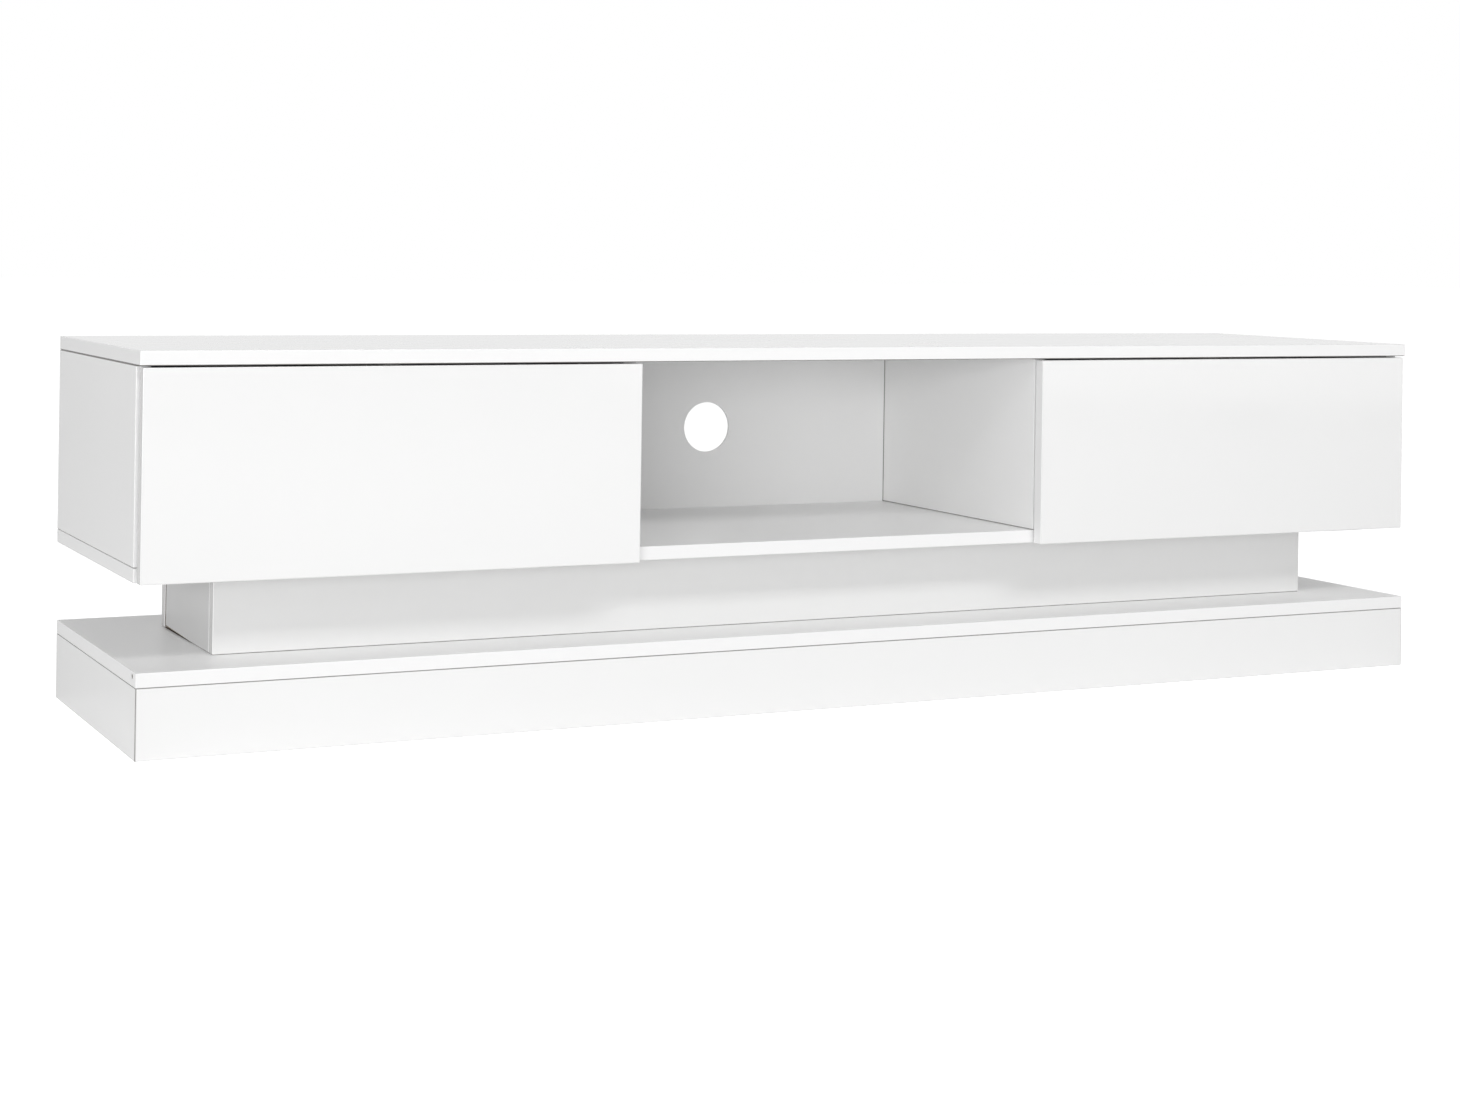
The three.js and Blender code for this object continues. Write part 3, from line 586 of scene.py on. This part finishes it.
def plastic_group():
    """Moulded plastic: a faint spark-eroded skin, and a shine that drifts a little over the part."""
    group, given, result = named_group("moulded_plastic", (
        ("Tint", "Color", (0.8, 0.8, 0.8, 1)), ("Sheen Low", "Float", 0.35), ("Sheen High", "Float", 0.5),
        ("Skin Height", "Float", 0.00001), ("Skin Scale", "Float", 2500.0),
    ), (("Color", "Color"), ("Roughness", "Float"), ("Normal", "Vector")))
    place = put(group, "ShaderNodeTexCoord").outputs["Object"]
    drift = put(group, "ShaderNodeTexNoise", {"Vector": place, "Scale": 90.0, "Detail": 3.0}).outputs["Fac"]
    skin = put(group, "ShaderNodeTexNoise", {
        "Vector": place, "Scale": given["Skin Scale"], "Detail": 2.0}).outputs["Fac"]
    sheen = put(group, "ShaderNodeMapRange", {
        "Value": drift, "From Min": 0.3, "From Max": 0.7,
        "To Min": given["Sheen Low"], "To Max": given["Sheen High"]})
    shade = put(group, "ShaderNodeMapRange", {
        "Value": drift, "To Min": 0.94, "To Max": 1.0}).outputs["Result"]
    tint = put(group, "ShaderNodeMix", data_type="RGBA", blend_type="MULTIPLY")
    tint.inputs["Factor"].default_value = 1.0
    group.links.new(given["Tint"], tint.inputs["A"])
    group.links.new(shade, tint.inputs["B"])
    bump = put(group, "ShaderNodeBump", {"Distance": given["Skin Height"], "Height": skin})
    group.links.new(tint.outputs["Result"], result["Color"])
    group.links.new(sheen.outputs["Result"], result["Roughness"])
    group.links.new(bump.outputs["Normal"], result["Normal"])
    return group


moulded_plastic = plastic_group()


def surfaced(name, group, values, metallic=0.0):
    """A material whose colour, roughness and normal come from one of the surface groups."""
    material = bpy.data.materials.new(name)
    material.use_nodes = True
    tree = material.node_tree
    shader = tree.nodes["Principled BSDF"]
    shader.inputs["Metallic"].default_value = metallic
    surface = put(tree, "ShaderNodeGroup", values, node_tree=group).outputs
    tree.links.new(surface["Color"], shader.inputs["Base Color"])
    tree.links.new(surface["Roughness"], shader.inputs["Roughness"])
    tree.links.new(surface["Normal"], shader.inputs["Normal"])
    return material


cover_plastic = surfaced("cover_plastic", moulded_plastic, {"Tint": (0.82, 0.82, 0.81, 1)})
cover_places = []
for name, towards in (("left_gable", 1), ("left_divider", -1), ("right_gable", -1), ("right_divider", 1)):
    low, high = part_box(name)
    face = high[0] if towards > 0 else low[0]
    for y in (low[1] + cover_from_front, high[1] - cover_from_rear):
        for z in (low[2] + cover_from_end, high[2] - cover_from_end):
            cover_places.append(((face, y, z), (towards, 0, 0)))
placed("cam_covers", cover_tree(), cover_places, "cabinet", {
    **cover, "Seed": cover_seed, "Material": cover_plastic})

# ---- Back panels ----
# Three sheets of 3 mm hardboard with a white satin foil, slid into grooves from above before the top board
# goes on, so a line of shade runs down each groove. The middle one has a round hole for the cables.
# The foil's white, whiter than the gables', is painted light at the back of the bay.
panel_foil = {
    "White": (0.95, 0.95, 0.948, 1), "Gloss Low": 0.36, "Gloss High": 0.44,
    "Wave Height": 0.00012, "Skin Height": 0.000012, "Skin Scale": 900.0}
groove_shade = 0.001
groove_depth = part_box("centre_back_panel")[1][0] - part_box("right_divider")[0][0]
in_groove = (groove_depth + groove_shade, free, free)
grooves = {"low_joint": in_groove, "high_joint": in_groove, "joint_darkness": 0.85}
for seed, name in enumerate(("left_back_panel", "centre_back_panel", "right_back_panel")):
    coated_board(name, panel_foil, 50 + pattern_step * seed, **grooves)

# ---- Flaps ----
# The two fronts, cut from the same lacquered board as the top board. Each hangs on two butt hinges along its
# lower edge. Their outer end faces are painted greyer than the rest, as shade.
flap_end_shade = {"Dark Tone": (0.66, 0.66, 0.658, 1), "Light Tone": (0.7, 0.7, 0.698, 1)}
for seed, name in enumerate(("left_flap", "right_flap")):
    coat = coated_board(name, high_gloss, 60 + pattern_step * seed).node_tree
    lay_bare_and_shade(coat, board_end(coat, name), flap_end_shade)

# ---- Butt hinges ----
# Steel leaves rolled round a loose pin and zinc plated. One leaf is screwed to the front edge of the case's
# floor and the other to the back of the flap.


def metal_group():
    """Plated or cast metal: drawn or tumbled marks, a shine that drifts, and a tint that varies a little."""
    group, given, result = named_group("plated_metal", (
        ("Tint", "Color", (0.6, 0.6, 0.6, 1)), ("Sheen Low", "Float", 0.2), ("Sheen High", "Float", 0.34),
        ("Stretch", "Vector", (1, 1, 1)), ("Mark Scale", "Float", 900.0), ("Mark Height", "Float", 0.000004),
    ), (("Color", "Color"), ("Roughness", "Float"), ("Normal", "Vector")))
    place = put(group, "ShaderNodeTexCoord").outputs["Object"]
    drawn = put(group, "ShaderNodeVectorMath", {
        0: place, 1: given["Stretch"]}, operation="MULTIPLY").outputs[0]
    marks = put(group, "ShaderNodeTexNoise", {
        "Vector": drawn, "Scale": given["Mark Scale"], "Detail": 3.0}).outputs["Fac"]
    drift = put(group, "ShaderNodeTexNoise", {
        "Vector": place, "Scale": 120.0, "Detail": 4.0}).outputs["Fac"]
    both = put(group, "ShaderNodeMath", {0: marks, 1: drift}, operation="ADD").outputs[0]
    sheen = put(group, "ShaderNodeMapRange", {
        "Value": both, "From Min": 0.7, "From Max": 1.3,
        "To Min": given["Sheen Low"], "To Max": given["Sheen High"]})
    shade = put(group, "ShaderNodeMapRange", {
        "Value": drift, "To Min": 0.86, "To Max": 1.04}).outputs["Result"]
    tint = put(group, "ShaderNodeMix", data_type="RGBA", blend_type="MULTIPLY")
    tint.inputs["Factor"].default_value = 1.0
    group.links.new(given["Tint"], tint.inputs["A"])
    group.links.new(shade, tint.inputs["B"])
    bump = put(group, "ShaderNodeBump", {"Distance": given["Mark Height"], "Height": marks})
    group.links.new(tint.outputs["Result"], result["Color"])
    group.links.new(sheen.outputs["Result"], result["Roughness"])
    group.links.new(bump.outputs["Normal"], result["Normal"])
    return group


plated_metal = metal_group()


same_point = 0.000002
same_plane = math.radians(1)
broken_from = math.radians(40)
creased_from = math.radians(30)


def eased_fitting(name, body, width, material):
    """Stands for a fitting's node: the same form with its sharp edges broken and its rounds smooth."""
    build = bmesh.new()
    build.from_mesh(nodes[name].data)
    bmesh.ops.remove_doubles(build, verts=build.verts, dist=same_point)
    bmesh.ops.dissolve_limit(build, angle_limit=same_plane, verts=build.verts, edges=build.edges)
    mesh = bpy.data.meshes.new(name + "_eased")
    build.to_mesh(mesh)
    build.free()
    piece = bpy.data.objects.new(name + "_eased", mesh)
    bpy.context.scene.collection.objects.link(piece)
    edges = piece.modifiers.new("broken_edges", "BEVEL")
    edges.width = width
    edges.segments = 2
    edges.limit_method = "ANGLE"
    edges.angle_limit = broken_from
    mesh = bpy.data.meshes.new_from_object(piece.evaluated_get(bpy.context.evaluated_depsgraph_get()))
    piece.modifiers.clear()
    piece.data = mesh
    mesh.name = name + "_eased"
    mesh.shade_smooth()
    mesh.set_sharp_from_angle(angle=creased_from)
    mesh.materials.clear()
    mesh.materials.append(material)
    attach(piece, body)
    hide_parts(name)


hinge_steel = surfaced("hinge_steel", plated_metal, {
    "Tint": (0.62, 0.62, 0.61, 1), "Sheen Low": 0.3, "Sheen High": 0.42,
    "Stretch": (0.08, 1, 1), "Mark Height": 0.000001}, metallic=1.0)
leaf_edge = 0.00012
pin_edge = 0.0002
for side in ("left", "right"):
    for number in (1, 2):
        hinge = f"{side}_hinge_{number}"
        eased_fitting(hinge + "_case_leaf", "cabinet", leaf_edge, hinge_steel)
        eased_fitting(hinge + "_flap_leaf", side + "_flap", leaf_edge, hinge_steel)
        eased_fitting(hinge + "_pin", "cabinet", pin_edge, hinge_steel)

# ---- Flap stays ----
# A nickel-plated rod with an eye at the flap's end slides through a nylon brake, which turns on a stud on the
# gable and is set by its slotted screw. The flap's end is held in a die-cast clevis.
bright_steel = surfaced("bright_steel", plated_metal, {
    "Tint": (0.72, 0.71, 0.69, 1), "Sheen Low": 0.12, "Sheen High": 0.22,
    "Mark Height": 0.000002}, metallic=1.0)
cast_zinc = surfaced("cast_zinc", plated_metal, {
    "Tint": (0.56, 0.56, 0.57, 1), "Sheen Low": 0.34, "Sheen High": 0.5,
    "Mark Scale": 1600.0, "Mark Height": 0.00001}, metallic=1.0)
white_nylon = surfaced("white_nylon", moulded_plastic, {"Tint": (0.8, 0.8, 0.785, 1)})
plate_edge = 0.00025
brake_edge = 0.0006
rod_edge = 0.0004
for side in ("left", "right"):
    eased_fitting(side + "_stay_gable_plate", "cabinet", plate_edge, bright_steel)
    eased_fitting(side + "_stay_brake", side + "_stay_brake", brake_edge, white_nylon)
    eased_fitting(side + "_stay_rod", side + "_stay_rod", rod_edge, bright_steel)
    eased_fitting(side + "_stay_flap_bracket", side + "_flap", plate_edge, cast_zinc)

# ---- Push latches ----
# A moulded housing screwed under the top board holds a sprung plunger, which a push on the flap lets out. The
# plunger meets a small plated strike on the back of the flap.
housing_edge = 0.0004
plunger_edge = 0.0005
strike_edge = 0.0002
for side in ("left", "right"):
    eased_fitting(side + "_latch_housing", "cabinet", housing_edge, white_nylon)
    eased_fitting(side + "_latch_plunger", side + "_latch_plunger", plunger_edge, cast_zinc)
    eased_fitting(side + "_latch_strike", side + "_flap", strike_edge, bright_steel)

# ---- Screws ----
# Countersunk cross-head screws, zinc plated. The small ones hold the hinge leaves and the strikes, and the
# larger ones the stays' plates and the latches. Each was driven home to its own angle.
small_screw = {
    "Head Radius": 0.0025, "Shank Radius": 0.0015, "Recess Width": 0.0007, "Recess Reach": 1.15}
large_screw = {
    "Head Radius": 0.0031, "Shank Radius": 0.0017, "Recess Width": 0.0009, "Recess Reach": 1.15}
screw_sink = 0.00005
hinge_screw_from_middle = 0.018
hinge_screw_below_top = 0.005
leaf_thickness = 0.0011
plate_screw_from_middle = 0.013
plate_thickness = 0.002
bracket_screw_from_middle = 0.016
flange_screw = {"from_middle": 0.0135, "behind_front": 0.038, "below_top": 0.0025}
strike_screw_from_middle = 0.007
first_large_seed = 10


def screw_tree():
    """A cone that narrows to its shank, with a cross cut in its head. Recess Reach is in head radii."""
    tree, given, result = geometry_tree("countersunk_screws", small_screw)
    depth = put(tree, "ShaderNodeMath", {
        0: given["Head Radius"], 1: given["Shank Radius"]}, operation="SUBTRACT").outputs[0]
    head = put(tree, "GeometryNodeMeshCone", {
        "Vertices": 32, "Radius Top": given["Head Radius"], "Radius Bottom": given["Shank Radius"],
        "Depth": depth})
    drop = put(tree, "ShaderNodeMath", {0: depth, 1: -1.0}, operation="MULTIPLY").outputs[0]
    drop_by = put(tree, "ShaderNodeCombineXYZ", {"Z": drop}).outputs[0]
    sunk = put(tree, "GeometryNodeTransform", {"Geometry": head.outputs["Mesh"], "Translation": drop_by})
    reach = put(tree, "ShaderNodeMath", {
        0: given["Head Radius"], 1: given["Recess Reach"]}, operation="MULTIPLY").outputs[0]
    slot_size = put(tree, "ShaderNodeCombineXYZ", {
        "X": reach, "Y": given["Recess Width"], "Z": given["Head Radius"]}).outputs[0]
    bar = put(tree, "GeometryNodeMeshCube", {"Size": slot_size}).outputs["Mesh"]
    across = put(tree, "GeometryNodeTransform", {"Geometry": bar, "Rotation": (0, 0, math.pi / 2)})
    cut = put(tree, "GeometryNodeMeshBoolean", {"Mesh 1": sunk.outputs["Geometry"]}, operation="DIFFERENCE")
    tree.links.new(bar, cut.inputs["Mesh 2"])
    tree.links.new(across.outputs["Geometry"], cut.inputs["Mesh 2"])
    set_on_places(tree, given, result, cut.outputs["Mesh"])
    return tree


small_places = {"cabinet": [], "left_flap": [], "right_flap": []}
large_places = {"cabinet": [], "left_flap": [], "right_flap": []}
for side, inward in (("left", 1), ("right", -1)):
    flap_body = side + "_flap"
    for number in (1, 2):
        for leaf, body, way in (("case_leaf", "cabinet", -1), ("flap_leaf", flap_body, 1)):
            low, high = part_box(f"{side}_hinge_{number}_{leaf}")
            face = high[1] - leaf_thickness if way < 0 else low[1] + leaf_thickness
            for x in (-hinge_screw_from_middle, hinge_screw_from_middle):
                point = ((low[0] + high[0]) / 2 + x, face - way * screw_sink, high[2] - hinge_screw_below_top)
                small_places[body].append((point, (0, way, 0)))
    low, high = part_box(side + "_latch_strike")
    for x in (-strike_screw_from_middle, strike_screw_from_middle):
        point = ((low[0] + high[0]) / 2 + x, high[1] - screw_sink, (low[2] + high[2]) / 2)
        small_places[flap_body].append((point, (0, 1, 0)))
    low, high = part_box(side + "_stay_gable_plate")
    face = low[0] + plate_thickness if inward > 0 else high[0] - plate_thickness
    for y in (-plate_screw_from_middle, plate_screw_from_middle):
        point = (face - inward * screw_sink, (low[1] + high[1]) / 2 + y, (low[2] + high[2]) / 2)
        large_places["cabinet"].append((point, (inward, 0, 0)))
    low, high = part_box(side + "_stay_flap_bracket")
    for z in (-bracket_screw_from_middle, bracket_screw_from_middle):
        point = ((low[0] + high[0]) / 2, low[1] + plate_thickness - screw_sink, (low[2] + high[2]) / 2 + z)
        large_places[flap_body].append((point, (0, 1, 0)))
    low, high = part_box(side + "_latch_housing")
    for x in (-flange_screw["from_middle"], flange_screw["from_middle"]):
        point = (
            (low[0] + high[0]) / 2 + x,
            low[1] + flange_screw["behind_front"],
            high[2] - flange_screw["below_top"] + screw_sink)
        large_places["cabinet"].append((point, (0, 0, -1)))

screws = screw_tree()
screw_steel = surfaced("screw_steel", plated_metal, {
    "Tint": (0.64, 0.63, 0.6, 1), "Sheen Low": 0.22, "Sheen High": 0.36}, metallic=1.0)
for seed, body in enumerate(small_places):
    placed(body + "_small_screws", screws, small_places[body], body, {
        **small_screw, "Seed": seed, "Material": screw_steel})
    placed(body + "_large_screws", screws, large_places[body], body, {
        **large_screw, "Seed": seed + first_large_seed, "Material": screw_steel})

# ---- Bumpers ----
# Low domes of clear silicone, moulded with a sticky back and pressed on the case's front edges, two to each
# flap. They quieten the flaps as they shut.
soft_silicone = surfaced("soft_silicone", moulded_plastic, {
    "Tint": (0.74, 0.74, 0.72, 1), "Sheen Low": 0.4, "Sheen High": 0.55})
dome_edge = 0.0002
for side in ("left", "right"):
    for where in ("gable", "divider"):
        eased_fitting(f"{side}_bumper_{where}", "cabinet", dome_edge, soft_silicone)
